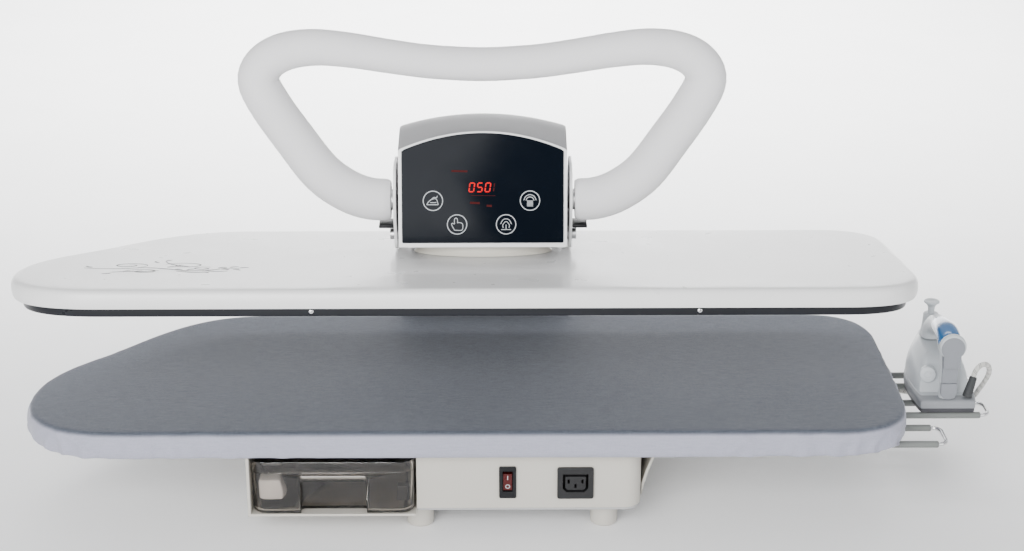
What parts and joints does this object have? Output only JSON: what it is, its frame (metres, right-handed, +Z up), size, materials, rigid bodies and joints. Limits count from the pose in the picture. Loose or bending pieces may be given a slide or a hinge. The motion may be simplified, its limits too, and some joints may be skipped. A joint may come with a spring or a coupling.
{
  "type": "steam ironing press",
  "caption": "Free-standing steam ironing press: padded board, hinged self-levelling heated plate with lever handle and control box, sliding water tank, and a small steam iron on a wire rest.",
  "frame": {"origin": "centre of the press's footprint, taken without the iron's cord, on the surface its feet stand on", "axes": "+X runs along the board to its square right end, +Y from the user's side to the rear hinge, +Z up"},
  "size_m": [1.0143, 0.4034, 0.4913],
  "materials": {
    "cream": "warm grey moulded plastic",
    "plate_paint": "satin white moulded cover",
    "head_grey": "satin light grey moulding",
    "white_paint": "white powder coat",
    "handle_foam": "white foam rubber sleeve",
    "black_plastic": "black moulding",
    "panel_black": "glossy black panel",
    "smoke": "smoked translucent tank",
    "rocker_red": "dark red translucent rocker",
    "cover_cloth": "blue-grey heathered cotton",
    "pad_foam": "foam pad",
    "steel": "plain steel",
    "painted_steel": "grey paint",
    "chrome": "bright",
    "alloy": "cast alloy",
    "dark_alloy": "dark non-stick coating",
    "grey_rubber": "grey heat sleeves",
    "iron_shell": "light grey moulding",
    "iron_grey": "grey moulding",
    "gland_rubber": "dark grey rubber",
    "braided_cord": "white cotton braid with grey fleck",
    "circuit_board": "green board",
    "hose_silicone": "silicone hose"
  },
  "bodies": {
    "base": {"base_housing": "cream", "base_cover": "painted_steel", "foot_front_left": "cream", "foot_front_right": "cream", "foot_rear_left": "cream", "foot_rear_right": "cream", "side_panel": "cream", "tank_bay": "cream", "water_pump": "black_plastic", "pump_hose": "hose_silicone", "switch_bezel": "black_plastic", "iron_socket": "black_plastic", "mains_inlet": "black_plastic", "board_tray": "alloy", "foam_pad": "pad_foam", "board_cover": "cover_cloth", "iron_rest": "grey_rubber", "hinge_tower": "painted_steel", "tower_cover": "cream", "hinge_pin": "chrome", "counter_spring": "steel", "iron_cord_run": "braided_cord", "iron_cord_coil": "braided_cord", "iron_cord_tail": "braided_cord", "iron_plug": "black_plastic"},
    "rocker": {"switch_rocker": "rocker_red"},
    "arm": {"arm_plate_left": "white_paint", "arm_plate_right": "white_paint", "arm_tie_bar": "steel", "handle_tube": "steel", "handle_grip": "handle_foam", "handle_clamp_left": "black_plastic", "handle_clamp_right": "black_plastic"},
    "plate": {"plate_shell": "plate_paint", "plate_rim": "black_plastic", "soleplate": "alloy", "heating_element": "steel", "steam_chamber": "alloy", "rim_screw_left": "chrome", "rim_screw_right": "chrome", "pedestal": "cream", "pivot_yoke": "steel", "control_box": "head_grey", "control_box_back": "head_grey", "panel_glass": "panel_black", "display_board": "circuit_board", "link_lug": "steel"},
    "link": {"levelling_link": "steel"},
    "tank": {"water_tank": "smoke", "tank_lid": "smoke", "tank_cap": "smoke", "tank_filter": "iron_shell"},
    "iron": {"iron_soleplate": "dark_alloy", "iron_body": "iron_shell", "iron_handle": "iron_shell", "iron_handle_cap": "iron_grey", "iron_gland": "gland_rubber", "iron_cord_upper": "braided_cord"},
    "knob": {"iron_knob": "iron_shell"}
  },
  "joints": [
    {"name": "arm_hinge", "type": "hinge", "parent": "base", "child": "arm", "pos_m": [-0.03325, 0.1737, 0.25625], "axis": [1, 0, 0], "range_deg": [0, 34.77], "stiffness_Nm_per_rad": 14, "springref_deg": -120.32},
    {"name": "plate_level", "type": "hinge", "parent": "arm", "child": "plate", "pos_m": [-0.03325, 0.00061, 0.26997], "axis": [1, 0, 0], "range_deg": [-26.03, 0]},
    {"name": "link_swing", "type": "hinge", "parent": "base", "child": "link", "pos_m": [-0.03325, 0.1737, 0.30772], "axis": [1, 0, 0], "range_deg": [0, 52.12]},
    {"name": "tank_slide", "type": "slide", "parent": "base", "child": "tank", "axis": [0, -1, 0], "range_m": [0, 0.2]},
    {"name": "switch_rock", "type": "hinge", "parent": "base", "child": "rocker", "pos_m": [-0.00845, -0.1577, 0.0597], "axis": [1, 0, 0], "range_deg": [-11, 0]},
    {"name": "iron_lift", "type": "slide", "parent": "base", "child": "iron", "axis": [0, 0, 1], "range_m": [0, 0.1]},
    {"name": "iron_button", "type": "slide", "parent": "iron", "child": "knob", "axis": [0, 0, -1], "range_m": [0, 0.0035], "stiffness_N_per_m": 400, "springref_m": -0.004}
  ],
  "couplings": [
    {"joint": "plate_level", "follows": "arm_hinge", "ratio": -0.74837},
    {"joint": "link_swing", "follows": "arm_hinge", "ratio": 1.4987}
  ]
}
